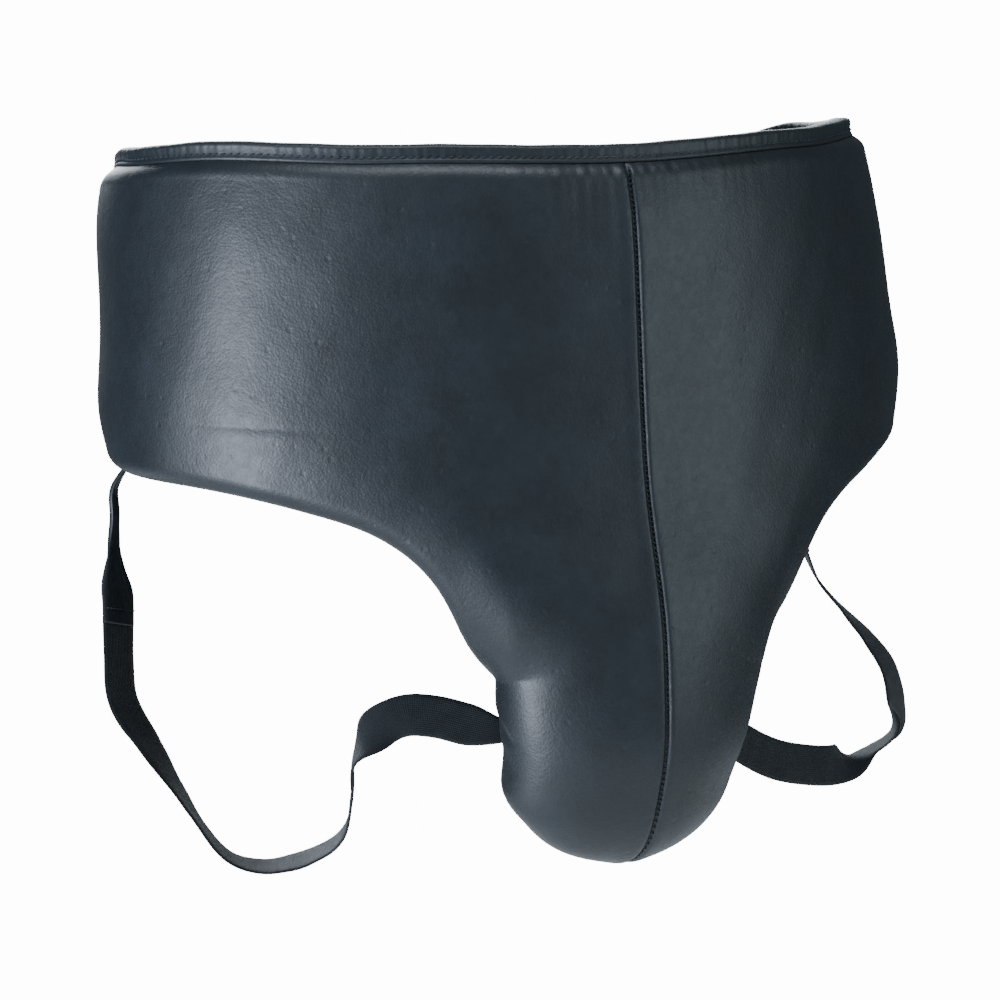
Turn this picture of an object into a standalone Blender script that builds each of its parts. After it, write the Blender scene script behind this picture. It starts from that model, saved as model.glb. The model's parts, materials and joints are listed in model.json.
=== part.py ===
"""Padded groin protector for boxing: a hip band whose front narrows to a moulded cup, with two leg straps.

Metres, +Z up. The wearer faces -Y, so the wearer's left is +X. The origin is the middle of the waist opening,
level with the top of the band at the hips.

The padding is drawn as a flat pattern and then bent round the body. A place in the pattern has three numbers:
s, the distance from the centre seam along a section; w, the distance down the centre seam from the top; and
the offset from the middle of the padding, outwards.
"""
import math

import bmesh
import bpy
import numpy as np

MM = 0.001
NAME = "groin_protector"
LEFT, RIGHT = 1, -1

# The middle of the padding, in millimetres. Each key is a distance down the centre seam and a value there.
SEAM_LEAN = [(0, 1), (120, 2), (190, 14), (255, -1), (300, -22), (345, -85), (375, -105)]  # degrees, forward
HALF_WIDTH = [(0, 181), (160, 190), (244, 53), (310, 48), (375, 32)]
HALF_DEPTH = [(0, 132), (160, 124), (244, 29), (320, 27), (375, 24)]
SECTION_TILT = [(200, 0), (270, 1)]  # how far a section turns with the centre seam
# The edge of half the pattern, from the toe of the cup, up the leg opening and along the band: (s, w)
EDGE = [(0, 376), (26, 368), (48, 352), (64, 328), (74, 300), (78, 268), (84, 233), (99, 198), (122, 176),
        (156, 163), (205, 153), (270, 149), (345, 147)]
RIM = [(0, 7), (110, 4), (190, 1), (260, 4), (345, 23)]  # how far the padding's top is below w = 0, along s
WING_END = EDGE[-1][0]
TOP_CROWDING = 1.55  # pattern columns stand closer together at the front of the rim
EDGE_CROWDING = 1.25  # and closer together at the cup

# The layers of the padding, as offsets from its middle
PAD_HALF = 10.0
LEATHER = 1.1
GAP = 1.5
FOAM_HALF = PAD_HALF - LEATHER - GAP
FOAM_FACES = (-0.76, 1.0)  # shares of FOAM_HALF; the lining takes a little of the inner side
CUP_FOAM_FACES = (-0.3, 0.87)
LINING = (-9.05, -8.35)
FOAM_EDGE_ROWS = (6.0, 8.4, PAD_HALF)  # the first rows of foam inside the rolled edge
CUP_FOAM_EDGE_ROWS = (16.0,)  # the turned-in leather crowds the cup's tight corners
SEAM_GAP = 0.2
WING_FOLD = 9.0  # the leather ends this far before the wing's end, under its patch
COVER_LIP = 20.0  # the leather turned in behind the lower edge
CUP_SHELL = (-13.1, -10.9)
POCKET_EDGE = (-11.6, -10.9)
POCKET_BULGE = 7.0
CUP_RIM_OFFSET = -13.7
INNER_PATCH = (-12.6, -11.4)
BINDING_HEIGHT = 7.0
BINDING_HALF = 5.0

# The cup, in the pattern: its middle down the centre seam, and its half sizes
CUP_CENTRE_W = 262.0
CUP_HALF_S = 44.0
CUP_HALF_W = 58.0
CUP_RIM_RADIUS = 2.4

# Every layer has its corners at the same places, so that the layers stay parallel: columns along the edge, and
# rows between the two rolled edges. The foam is cut between two columns and between two rows.
COLUMNS = 23
ROWS = 13
ROW_CROWDING = 1.3  # rows stand closer together towards the cup
WING_CUT = 14
CUP_CUT = 7
CUT_GAP = 1.6

# Straps
STRAP_WIDTH = 20.0
STRAP_THICK = 1.5
TAB_WIDTH = 21.0
GATHERED_WIDTH = 8.0  # where the tab and the strap are sewn in
TAB_THICK = 2.4
WAIST_WIDTH = 50.0
WAIST_THICK = 1.8
WAIST_Z = -72.0

# The closure at the back. Its layers are stacked along +Y.
LOOP_ELASTIC_Y = 103.0
CLOSURE_HINGE = (-52.0, 108.3)
PATCH_THICK = 1.5
FLAP_LENGTH = 96.0

SEGMENTS_FINE = 180
BLACK_LEATHER = ((0.020, 0.027, 0.034), 0.42)
BLACK_ELASTIC = ((0.012, 0.016, 0.020), 0.85)
BLACK_LINING = ((0.018, 0.020, 0.024), 0.80)
FOAM = ((0.24, 0.25, 0.27), 0.90)
PLASTIC = ((0.62, 0.62, 0.60), 0.35)
RUBBER = ((0.05, 0.05, 0.05), 0.70)
THREAD = ((0.008, 0.009, 0.011), 0.60)


def eased(x, keys):
    """The value at x of a line through the keys that starts and ends level at each of them."""
    at, value = np.array(keys, float).T
    i = np.clip(np.searchsorted(at, x) - 1, 0, len(at) - 2)
    share = np.clip((x - at[i]) / (at[i + 1] - at[i]), 0, 1)
    share = share * share * (3 - 2 * share)
    return value[i] * (1 - share) + value[i + 1] * share


def smooth_line(points, count):
    """count points, evenly spaced, on a smooth curve through the given points."""
    p = np.array(points, float)
    p = np.vstack([2 * p[0] - p[1], p, 2 * p[-1] - p[-2]])
    t = np.linspace(0, 1, 40, endpoint=False)[:, None]
    spans = []
    for a, b, c, d in zip(p, p[1:], p[2:], p[3:]):
        bend = (2 * a - 5 * b + 4 * c - d) * t**2 + (3 * b - a - 3 * c + d) * t**3
        spans.append(0.5 * (2 * b + (c - a) * t + bend))
    line = np.vstack([*spans, p[-2:-1]])
    along = np.concatenate([[0], np.cumsum(np.linalg.norm(np.diff(line, axis=0), axis=1))])
    even = np.linspace(0, along[-1], count)
    return np.stack([np.interp(even, along, line[:, k]) for k in range(line.shape[1])], axis=1)


def unit(v):
    return v / np.linalg.norm(v, axis=-1, keepdims=True)


class Body:
    """Bends the flat pattern round the hips and the cup."""

    START = -40.0
    WIDEST = 400

    def __init__(self):
        self.w = np.arange(self.START, EDGE[0][1] + 40.0)
        lean = np.radians(eased(self.w, SEAM_LEAN))
        top = int(-self.START)
        forward = np.concatenate([[0], np.cumsum(np.sin((lean[1:] + lean[:-1]) / 2))])
        down = np.concatenate([[0], np.cumsum(np.cos((lean[1:] + lean[:-1]) / 2))])
        self.seam_y = -HALF_DEPTH[0][1] - (forward - forward[top])
        self.seam_z = down[top] - down
        self.tilt = lean * eased(self.w, SECTION_TILT)
        self.half_width = eased(self.w, HALF_WIDTH)
        self.half_depth = eased(self.w, HALF_DEPTH)
        turn = np.linspace(0, math.pi, 2 * SEGMENTS_FINE + 1)
        pace = np.hypot(self.half_width[:, None] * np.cos(turn), self.half_depth[:, None] * np.sin(turn))
        steps = (pace[:, 1:] + pace[:, :-1]) / 2 * turn[1]
        length = np.concatenate([np.zeros((len(self.w), 1)), np.cumsum(steps, axis=1)], axis=1)
        even = np.arange(self.WIDEST)
        self.turn = np.array([np.interp(even, row, turn) for row in length])

    def turn_at(self, s, w):
        """The angle round the section at distance s from the centre seam."""
        i = np.clip(w - self.START, 0, len(self.w) - 1.001)
        j = np.clip(s, 0, self.WIDEST - 1.001)
        i0, j0 = i.astype(int), j.astype(int)
        fi, fj = i - i0, j - j0
        near = self.turn[i0, j0] * (1 - fj) + self.turn[i0, j0 + 1] * fj
        far = self.turn[i0 + 1, j0] * (1 - fj) + self.turn[i0 + 1, j0 + 1] * fj
        return near * (1 - fi) + far * fi

    def middle(self, s, w):
        side = np.where(s < 0, -1.0, 1.0)
        turn = self.turn_at(np.abs(s), w)
        depth = np.interp(w, self.w, self.half_depth) * (1 - np.cos(turn))
        tilt = np.interp(w, self.w, self.tilt)
        x = side * np.interp(w, self.w, self.half_width) * np.sin(turn)
        y = np.interp(w, self.w, self.seam_y) + depth * np.cos(tilt)
        z = np.interp(w, self.w, self.seam_z) - depth * np.sin(tilt)
        return np.stack([x, y, z], axis=-1)

    def place(self, s, w, offset):
        """Points in millimetres for places in the pattern."""
        step = 0.5
        s, w, offset = np.broadcast_arrays(np.asarray(s, float), w, offset)
        down = self.middle(s, w + step) - self.middle(s, w - step)
        across = self.middle(s + step, w) - self.middle(s - step, w)
        return self.middle(s, w) + unit(np.cross(down, across)) * offset[..., None]


class Pattern:
    """The flat pattern of one half, as columns from the rim to the edge that meet the edge squarely."""

    COLUMNS = 400
    TOP_PULL = 0.9
    EDGE_PULL = 0.45

    def __init__(self):
        edge = smooth_line(EDGE, self.COLUMNS)
        crowded = (self.COLUMNS - 1) * np.linspace(0, 1, self.COLUMNS) ** EDGE_CROWDING
        edge = np.stack([np.interp(crowded, np.arange(self.COLUMNS), edge[:, k]) for k in (0, 1)], axis=1)
        along = unit(np.gradient(edge, axis=0))
        outward = np.stack([-along[:, 1], along[:, 0]], axis=1)
        outward[0] = (0, 1)
        rim_s = WING_END * np.linspace(0, 1, self.COLUMNS) ** TOP_CROWDING
        rim = np.stack([rim_s, eased(rim_s, RIM)], axis=1)
        reach = np.linalg.norm(edge - rim, axis=1, keepdims=True)
        leave = np.array([[0.0, 1.0]]) * reach * self.TOP_PULL
        arrive = outward * reach * self.EDGE_PULL
        t = np.linspace(0, 1, 120)[None, :, None]
        self.lines = (
            (2 * t**3 - 3 * t**2 + 1) * rim[:, None]
            + (t**3 - 2 * t**2 + t) * leave[:, None]
            + (3 * t**2 - 2 * t**3) * edge[:, None]
            + (t**3 - t**2) * arrive[:, None]
        )
        steps = np.linalg.norm(np.diff(self.lines, axis=1), axis=2)
        self.down = np.concatenate([np.zeros((self.COLUMNS, 1)), np.cumsum(steps, axis=1)], axis=1)

    def height(self, u):
        """The length of the column at u, which is 0 at the centre seam and 1 at the wing's end."""
        return np.interp(u, np.linspace(0, 1, self.COLUMNS), self.down[:, -1])

    def at(self, u, down):
        """The (s, w) of the place a distance down the column at u."""
        u, down = np.broadcast_arrays(np.asarray(u, float), down)
        flat_u, flat_down = u.ravel(), down.ravel()
        i = np.clip(flat_u * (self.COLUMNS - 1), 0, self.COLUMNS - 1.001)
        low = i.astype(int)
        share = flat_down / self.height(flat_u)
        found = np.zeros((2, len(flat_u)))
        for k in range(len(flat_u)):
            ends = []
            for c in (low[k], low[k] + 1):
                reach = share[k] * self.down[c, -1]
                ends.append([np.interp(reach, self.down[c], self.lines[c, :, n]) for n in (0, 1)])
            mix = i[k] - low[k]
            found[:, k] = np.array(ends[0]) * (1 - mix) + np.array(ends[1]) * mix
        return found[0].reshape(u.shape), found[1].reshape(u.shape)


BODY = Body()
PATTERN = Pattern()


def material(name, looks, metallic=0.0):
    if name in bpy.data.materials:
        return bpy.data.materials[name]
    colour, roughness = looks
    made = bpy.data.materials.new(name)
    made.use_nodes = True
    shader = made.node_tree.nodes["Principled BSDF"]
    shader.inputs["Base Color"].default_value = (*colour, 1)
    shader.inputs["Roughness"].default_value = roughness
    shader.inputs["Metallic"].default_value = metallic
    return made


def add(name, mesh, made_of):
    mesh.materials.append(made_of)
    obj = bpy.data.objects.new(name, mesh)
    bpy.data.collections[NAME].objects.link(obj)
    return obj


def slab(name, columns, rows, bend, made_of, pivot=(0, 0, 0)):
    """A flat slab of columns by rows cells, bent into place by bend(x, y, z), each from 0 to 1 across it."""
    bm = bmesh.new()
    bmesh.ops.create_grid(bm, x_segments=columns, y_segments=rows, size=0.5)
    bmesh.ops.solidify(bm, geom=bm.faces[:], thickness=1.0)
    flat = np.array([v.co[:] for v in bm.verts])
    low, high = flat.min(axis=0), flat.max(axis=0)
    x, y, z = ((flat - low) / (high - low)).T
    bent = bend(x, y, z) * MM - np.array(pivot) * MM
    for vert, place in zip(bm.verts, bent):
        vert.co = place
    bmesh.ops.triangulate(bm, faces=bm.faces[:], quad_method="SHORT_EDGE")
    bmesh.ops.recalc_face_normals(bm, faces=bm.faces[:])
    mesh = bpy.data.meshes.new(name)
    bm.to_mesh(mesh)
    bm.free()
    mesh.shade_smooth()
    obj = add(name, mesh, made_of)
    obj.location = np.array(pivot) * MM
    return obj


def tube(name, points, radius, made_of, closed=False, sides=2):
    """A round line through points in millimetres."""
    curve = bpy.data.curves.new(name, "CURVE")
    curve.dimensions = "3D"
    curve.bevel_depth = radius * MM
    curve.bevel_resolution = sides
    curve.use_fill_caps = not closed
    spline = curve.splines.new("POLY")
    spline.points.add(len(points) - 1)
    spline.use_cyclic_u = closed
    for point, place in zip(spline.points, points):
        point.co = (*(place * MM), 1)
    curve.materials.append(made_of)
    obj = bpy.data.objects.new(name, curve)
    bpy.data.collections[NAME].objects.link(obj)
    return obj


def mix(low, high, share):
    return low + (high - low) * share


def side_name(side):
    return "left" if side == LEFT else "right"


def rolled(radius, edge):
    """The offset of a layer of that radius at a distance from the padding's edge, which it is rolled round."""
    return np.sqrt(np.maximum(radius**2 - np.clip(PAD_HALF - edge, 0, PAD_HALF) ** 2, 0))


def from_centre(x, side):
    """x from 0 at the centre seam to 1 at the wing, for cells that run from -X to +X on both sides."""
    return x if side != RIGHT else 1 - x


def stations(height):
    """The rows of every layer: distances down a column between the middles of its two rolled edges."""
    shares = [1 - (1 - row / ROWS) ** ROW_CROWDING for row in range(ROWS + 1)]
    return [mix(PAD_HALF, height - PAD_HALF, share) for share in shares]


def read_rows(rows, y):
    """The value at y, from 0 to 1, of a list of rows, each an array with a value for every point."""
    rows = np.array(rows)
    at = y * (len(rows) - 1)
    low = np.minimum(at.astype(int), len(rows) - 2)
    points = np.arange(rows.shape[1])
    return mix(rows[low, points], rows[low + 1, points], at - low)


def cover_panel(side):
    """One leather panel: down the front face, round the lower edge and in behind it."""
    roll_steps, lip_reach = 4, COVER_LIP - PAD_HALF
    top_rows = (2.6, 5.4)

    def bend(x, y, z):
        x = from_centre(x, side)
        reach = mix(PAD_HALF - LEATHER, PAD_HALF, z)
        height = PATTERN.height(x)
        downs = [np.full_like(x, down) for down in top_rows] + stations(height)
        offsets = [rolled(reach, down) for down in downs]
        for step in range(1, roll_steps + 1):
            turn = math.pi * step / roll_steps
            downs.append(height - PAD_HALF + reach * math.sin(turn))
            offsets.append(reach * math.cos(turn))
        downs.append(height - PAD_HALF - lip_reach)
        offsets.append(-reach)
        s, w = PATTERN.at(x, read_rows(downs, y))
        s = np.minimum(s, WING_END - WING_FOLD) + SEAM_GAP * (1 - x)
        return BODY.place(side * s, w, read_rows(offsets, y))

    rows = len(top_rows) + ROWS + roll_steps + 1
    return slab(f"{side_name(side)}_cover_panel", COLUMNS, rows, bend, material("black_leather", BLACK_LEATHER))


def foam_piece(name, columns, first_row, last_row, side=None, faces=FOAM_FACES, edge_rows=FOAM_EDGE_ROWS):
    """Foam between two columns of the pattern and between two rows. No side means right across."""

    def bend(x, y, z):
        u = mix(*columns, from_centre(x, side)) / COLUMNS
        height = PATTERN.height(np.abs(u))
        downs = stations(height)[first_row:last_row + 1]
        if first_row == 0:
            downs = [np.full_like(x, edge_row) for edge_row in edge_rows] + downs[1:]
        else:
            downs[0] = downs[0] + CUT_GAP / 2
        if last_row == ROWS:
            downs = downs[:-1] + [height - edge_row for edge_row in reversed(edge_rows)]
        else:
            downs[-1] = downs[-1] - CUT_GAP / 2
        down = read_rows(downs, y)
        s, w = PATTERN.at(np.abs(u), down)
        edge = np.minimum(np.minimum(down, height - down), WING_END - s + 1)
        offset = rolled(FOAM_HALF, edge) * mix(*faces, z)
        direction = np.where(u < 0, -1, 1) * (side or 1)
        return BODY.place(direction * s, w, offset)

    rows = last_row - first_row + (len(edge_rows) - 1) * ((first_row == 0) + (last_row == ROWS))
    return slab(name, math.ceil(columns[1] - columns[0]), rows, bend, material("foam", FOAM))


def lining_panel(side):
    def bend(x, y, z):
        x = from_centre(x, side)
        height = PATTERN.height(x)
        downs = [np.full_like(x, 4.0)] + stations(height - COVER_LIP + PAD_HALF - 0.6)
        s, w = PATTERN.at(x, read_rows(downs, y))
        s = np.minimum(s, WING_END - WING_FOLD) + SEAM_GAP * (1 - x)
        return BODY.place(side * s, w, mix(*LINING, z))

    made_of = material("lining_cloth", BLACK_LINING)
    return slab(f"{side_name(side)}_lining_panel", COLUMNS, ROWS + 1, bend, made_of)


def binding():
    """The strip that stands along the whole top edge."""

    def bend(x, y, z):
        s = mix(-WING_END, WING_END, x)
        w = eased(np.abs(s), RIM) - mix(0.4, BINDING_HEIGHT, y)
        return BODY.place(s, w, mix(-BINDING_HALF, BINDING_HALF, z))

    return slab("top_binding", 56, 1, bend, material("black_leather", BLACK_LEATHER))


def binding_stitching():
    s = np.linspace(-WING_END + 6, WING_END - 6, 56)
    line = BODY.place(s, eased(np.abs(s), RIM) - 3.0, BINDING_HALF + 0.8)
    return tube("binding_stitching", line, 0.35, material("black_thread", THREAD), sides=1)


def centre_stitching():
    w = np.linspace(14, 352, 36)
    return tube("centre_seam_stitching", BODY.place(0.0, w, PAD_HALF + 0.8), 0.35,
                material("black_thread", THREAD), sides=1)


def oval(x, y):
    """A square from -1 to 1 pressed into a round disc."""
    return x * np.sqrt(1 - y**2 / 2), y * np.sqrt(1 - x**2 / 2)


def cup_sheet(name, half_s, half_w, offset_at, cells, made_of):
    """A round-edged sheet behind the cup foam. offset_at(radius, z) is its offset; radius is 1 at the edge."""

    def bend(x, y, z):
        a, b = oval(2 * x - 1, 2 * y - 1)
        return BODY.place(a * half_s, CUP_CENTRE_W + b * half_w, offset_at(np.hypot(a, b), z))

    return slab(name, cells, cells, bend, made_of)


def cup():
    def shell_offset(radius, z):
        return mix(*CUP_SHELL, z)

    def pocket_offset(radius, z):
        inside = np.clip((1 - radius) / 0.12, 0, 1)
        return mix(*POCKET_EDGE, z) - POCKET_BULGE * inside * inside * (3 - 2 * inside)

    cup_sheet("cup_shell", CUP_HALF_S, CUP_HALF_W, shell_offset, 10, material("cup_plastic", PLASTIC))
    cup_sheet("cup_pocket", CUP_HALF_S + 15, CUP_HALF_W + 17, pocket_offset, 14,
              material("lining_cloth", BLACK_LINING))
    turn = np.linspace(0, 2 * math.pi, 40, endpoint=False)
    out = CUP_RIM_RADIUS + 2.2
    rim_s = (CUP_HALF_S + out) * np.sin(turn)
    rim_w = CUP_CENTRE_W + (CUP_HALF_W + out) * np.cos(turn)
    rim = BODY.place(rim_s, rim_w, CUP_RIM_OFFSET)
    tube("cup_rim_cushion", rim, CUP_RIM_RADIUS, material("rubber", RUBBER), closed=True)


def crotch_piece():
    """The leather piece that closes the cup's toe underneath, behind the turned-in panels."""

    def bend(x, y, z):
        s = mix(-17.0, 17.0, x)
        w = mix(EDGE[0][1] - 38, EDGE[0][1] - 11, y)
        return BODY.place(s, w, mix(*INNER_PATCH, z))

    return slab("crotch_piece", 6, 6, bend, material("black_leather", BLACK_LEATHER))


def edge_patch(name, side, edge_share, length, depth_range):
    """A leather patch on the inner face, along a stretch of the pattern's edge."""

    def bend(x, y, z):
        u = edge_share + length * (x - 0.5)
        s, w = PATTERN.at(u, PATTERN.height(u) - mix(*depth_range, y))
        return BODY.place(side * s, w, mix(*INNER_PATCH, z))

    return slab(name, 5, 3, bend, material("black_leather", BLACK_LEATHER))


def wing_end_patch(side):
    """Leather folded round the wing's end, where the rear waistband is sewn."""
    reach, corner = 17.0, 10.0

    def bend(x, y, z):
        radius = mix(PAD_HALF + 0.7, PAD_HALF + 2.0, z)
        turn = np.clip((x - 0.3) / 0.4, 0, 1) * math.pi
        in_front, behind = np.clip(x / 0.3, 0, 1), np.clip((x - 0.7) / 0.3, 0, 1)
        s = WING_END - 8.0 - reach * (1 - in_front) - reach * behind + radius * np.sin(turn)
        rim_w = eased(np.minimum(s, WING_END), RIM)
        w = mix(rim_w + corner, EDGE[-1][1] - corner, y)
        return BODY.place(side * s, w, radius * np.cos(turn))

    return slab(f"{side_name(side)}_wing_end_patch", 14, 4, bend, material("black_leather", BLACK_LEATHER))


def ribbon(name, route, facings, width, thick, made_of, pieces, start=0.0, end=1.0, pivot=(0, 0, 0)):
    """A flat strap along a smooth route, from the share start to the share end of it.

    facings are (share of the route, direction across the strap); the strap turns evenly between them. width is
    a number, or (share of the route, width) keys.
    """
    count = 400
    line = smooth_line(route, count)
    along = unit(np.gradient(line, axis=0))
    shares = np.linspace(0, 1, count)
    keys = np.array([[share, *direction] for share, direction in facings], float)
    keys[:, 1:] = unit(keys[:, 1:])
    across = np.stack([eased(shares, list(zip(keys[:, 0], keys[:, k]))) for k in (1, 2, 3)], axis=1)
    across = unit(across - along * np.sum(across * along, axis=1, keepdims=True))
    face = np.cross(along, across)

    def bend(x, y, z):
        share = mix(start, end, x)
        at_share = width if np.isscalar(width) else eased(share, width)
        middle, sideways, out = (
            np.stack([np.interp(share, shares, table[:, k]) for k in range(3)], axis=1)
            for table in (line, across, face)
        )
        return middle + sideways * ((y - 0.5) * at_share)[:, None] + out * ((z - 0.5) * thick)[:, None]

    return slab(name, pieces, 2, bend, made_of, pivot)


# Each leg strap: its route from the band to the cup, and the direction across it at shares of the route
STRAP_ROUTES = {
    RIGHT: [(-178.6, 37.2, -149.3), (-182, 39, -159), (-186, 40, -173), (-188.5, 37, -191),
            (-191, 31, -212), (-195, 26, -236),
            (-199, 22, -258), (-195, 15, -277), (-185, 7, -297), (-176, -4, -317), (-161, -16, -331),
            (-141, -26, -336), (-121, -38, -327), (-112, -50, -314), (-112, -58, -296), (-112, -67, -282),
            (-104, -76, -268), (-93, -83, -262), (-80, -89, -263), (-67, -95, -267), (-56, -100.5, -270),
            (-48, -102.8, -271.5), (-43, -104.2, -272.5)],
    LEFT: [(178.6, 37.2, -149.3), (181, 39, -159), (183, 40, -173), (184, 37, -191), (186, 30, -211),
           (190, 22, -230),
           (201, 12, -244), (210, 1, -258), (216, -10, -273), (214, -22, -288), (203, -33, -299),
           (189, -41, -306), (171, -49, -310), (150, -60, -311), (126, -70, -307), (105, -79, -301),
           (84, -89, -291), (68, -96.5, -281), (56, -100.5, -276), (48, -102.8, -274), (43, -104.2, -273)],
}
STRAP_FACINGS = {
    RIGHT: [(0.0, (0.43, 0.90, 0)), (0.07, (0.43, 0.90, 0)), (0.17, (0.92, 0.38, 0)), (0.30, (0.92, 0.38, 0)),
            (0.47, (0.50, 0.86, 0)), (0.60, (0.42, 0.86, 0.25)), (0.76, (0.45, 0.89, 0.05)),
            (0.85, (-0.50, 0.20, 0.80)), (0.90, (0, 0, 1)), (1.0, (0, 0, 1))],
    LEFT: [(0.0, (-0.43, 0.90, 0)), (0.15, (0.30, 0.95, 0)), (0.25, (0.454, 0.89, 0)), (0.40, (0.69, 0.68, 0.24)),
           (0.50, (0.69, 0.68, 0.24)), (0.585, (0.45, 0.89, 0)), (0.68, (0.10, 0.10, 1)), (1.0, (0, 0, 1))],
}
TAB_SHARE = {RIGHT: 0.19, LEFT: 0.19}


def leg_strap(side):
    """The leather tab at the band, and the elastic from it to the cup."""
    route, facings, tab_end = STRAP_ROUTES[side], STRAP_FACINGS[side], TAB_SHARE[side]
    pivot = route[0]
    tab_widths = [(0.0, GATHERED_WIDTH), (0.07, TAB_WIDTH), (1.0, TAB_WIDTH)]
    strap_widths = [(0.0, STRAP_WIDTH), (0.93, STRAP_WIDTH), (1.0, GATHERED_WIDTH)]
    ribbon(f"{side_name(side)}_leg_strap_tab", route, facings, tab_widths, TAB_THICK,
           material("black_leather", BLACK_LEATHER), 14, 0.0, tab_end, pivot)
    ribbon(f"{side_name(side)}_leg_strap_elastic", route, facings, strap_widths, STRAP_THICK,
           material("black_elastic", BLACK_ELASTIC), 56, tab_end + 0.002, 1.0, pivot)


def level_strap(name, route, width, thick, made_of, pieces, pivot=(0, 0, 0)):
    """A strap that stands on edge along a level route of (x, y) points."""
    route = [(x, y, WAIST_Z) for x, y in route]
    return ribbon(name, route, [(0, (0, 0, 1)), (1, (0, 0, 1))], width, thick, made_of, pieces, pivot=pivot)


def waist_closure():
    """The rear waistband: the loop side reaches across the back, and the flap with the hooks closes over it."""
    elastic = material("black_elastic", BLACK_ELASTIC)
    leather = material("black_leather", BLACK_LEATHER)
    loop_y = LOOP_ELASTIC_Y
    left_route = [(135.3, 83), (123, 89.5), (108, 95), (90, 99.5), (70, 102.2), (48, loop_y), (0, loop_y),
                  (-46, loop_y)]
    level_strap("left_waist_elastic", left_route, WAIST_WIDTH, WAIST_THICK, elastic, 30)
    hinge_x, hinge_y = CLOSURE_HINGE
    right_route = [(-135.3, 83), (-123, 90.5), (-108, 97.5), (-90, 103), (-74, 106.6), (hinge_x - 1, hinge_y)]
    level_strap("right_waist_elastic", right_route, WAIST_WIDTH, WAIST_THICK, elastic, 18)
    hinge = (hinge_x, hinge_y, 0)
    layer = loop_y + WAIST_THICK / 2 + 0.3 + PATCH_THICK / 2
    level_strap("loop_patch", [(-40, layer), (0, layer), (44, layer)], WAIST_WIDTH - 8, PATCH_THICK, leather, 4)
    layer += PATCH_THICK + 0.3
    level_strap("hook_patch", [(-18, layer), (10, layer), (36, layer)], WAIST_WIDTH - 12, PATCH_THICK, leather,
                4, hinge)
    flap_y = layer + PATCH_THICK / 2 + 0.3 + WAIST_THICK / 2
    tip = hinge_x + FLAP_LENGTH
    flap_route = [(hinge_x + 1, hinge_y), (hinge_x + 14, flap_y - 0.1), (0, flap_y), (tip, flap_y)]
    level_strap("closure_flap", flap_route, WAIST_WIDTH, WAIST_THICK, leather, 16, hinge)
    level_strap("closure_pull_tab", [(tip + 0.5, flap_y), (tip + 12, flap_y + 0.6), (tip + 26, flap_y + 2)],
                22.0, 3.0, leather, 6, hinge)


def build():
    for obj in list(bpy.data.objects):
        bpy.data.objects.remove(obj)
    bpy.context.scene.collection.children.link(bpy.data.collections.new(NAME))
    for side in (LEFT, RIGHT):
        cover_panel(side)
        lining_panel(side)
        foam_piece(f"{side_name(side)}_wing_foam", (WING_CUT + 0.05, COLUMNS - 0.1), 0, ROWS, side)
        wing_end_patch(side)
        edge_patch(f"{side_name(side)}_band_strap_patch", side, 0.933, 0.036, (9.0, 32.0))
        edge_patch(f"{side_name(side)}_cup_strap_patch", side, 0.365, 0.05, (10.0, 26.0))
        leg_strap(side)
    foam_piece("belly_foam", (-WING_CUT, WING_CUT), 0, CUP_CUT)
    foam_piece("cup_foam", (-WING_CUT, WING_CUT), CUP_CUT, ROWS, faces=CUP_FOAM_FACES,
               edge_rows=CUP_FOAM_EDGE_ROWS)
    binding()
    binding_stitching()
    centre_stitching()
    cup()
    crotch_piece()
    waist_closure()


build()
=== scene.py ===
"""The looks of the padded groin protector: leather covers, binding, stitches, webbing and lining.

The padding is drawn as a flat pattern and then bent round the body, as in the CAD. A place in the pattern
has three numbers, in millimetres: s, the distance from the centre seam along a section; w, the distance
down the centre seam from the top; and the offset from the middle of the padding, outwards.
"""
import json
import math

import bmesh
import bpy
import numpy as np
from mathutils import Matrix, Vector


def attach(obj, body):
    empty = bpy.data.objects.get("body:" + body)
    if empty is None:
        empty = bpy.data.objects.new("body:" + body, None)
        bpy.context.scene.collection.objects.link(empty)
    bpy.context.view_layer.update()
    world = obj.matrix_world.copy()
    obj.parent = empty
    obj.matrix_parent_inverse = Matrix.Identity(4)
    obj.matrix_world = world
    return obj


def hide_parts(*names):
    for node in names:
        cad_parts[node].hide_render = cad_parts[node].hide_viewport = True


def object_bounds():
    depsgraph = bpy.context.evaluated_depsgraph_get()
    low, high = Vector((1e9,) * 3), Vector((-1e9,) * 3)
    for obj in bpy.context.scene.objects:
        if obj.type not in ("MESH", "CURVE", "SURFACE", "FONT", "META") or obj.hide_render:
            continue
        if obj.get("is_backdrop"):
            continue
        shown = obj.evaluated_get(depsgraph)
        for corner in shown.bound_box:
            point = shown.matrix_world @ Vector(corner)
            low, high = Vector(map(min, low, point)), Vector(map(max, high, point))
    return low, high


MM = 0.001
LEFT, RIGHT = 1, -1

# The CAD's pattern. Each key is a distance down the centre seam and a value there, the lean in degrees.
SEAM_LEAN = [(0, 1), (120, 2), (190, 14), (255, -1), (300, -22), (345, -85), (375, -105)]
HALF_WIDTH = [(0, 181), (160, 190), (244, 53), (310, 48), (375, 32)]
HALF_DEPTH = [(0, 132), (160, 124), (244, 29), (320, 27), (375, 24)]
SECTION_TILT = [(200, 0), (270, 1)]
EDGE = [(0, 376), (26, 368), (48, 352), (64, 328), (74, 300), (78, 268), (84, 233), (99, 198), (122, 176),
        (156, 163), (205, 153), (270, 149), (345, 147)]
RIM = [(0, 7), (110, 4), (190, 1), (260, 4), (345, 23)]
WING_END = EDGE[-1][0]
TOP_CROWDING = 1.55
EDGE_CROWDING = 1.25

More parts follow.
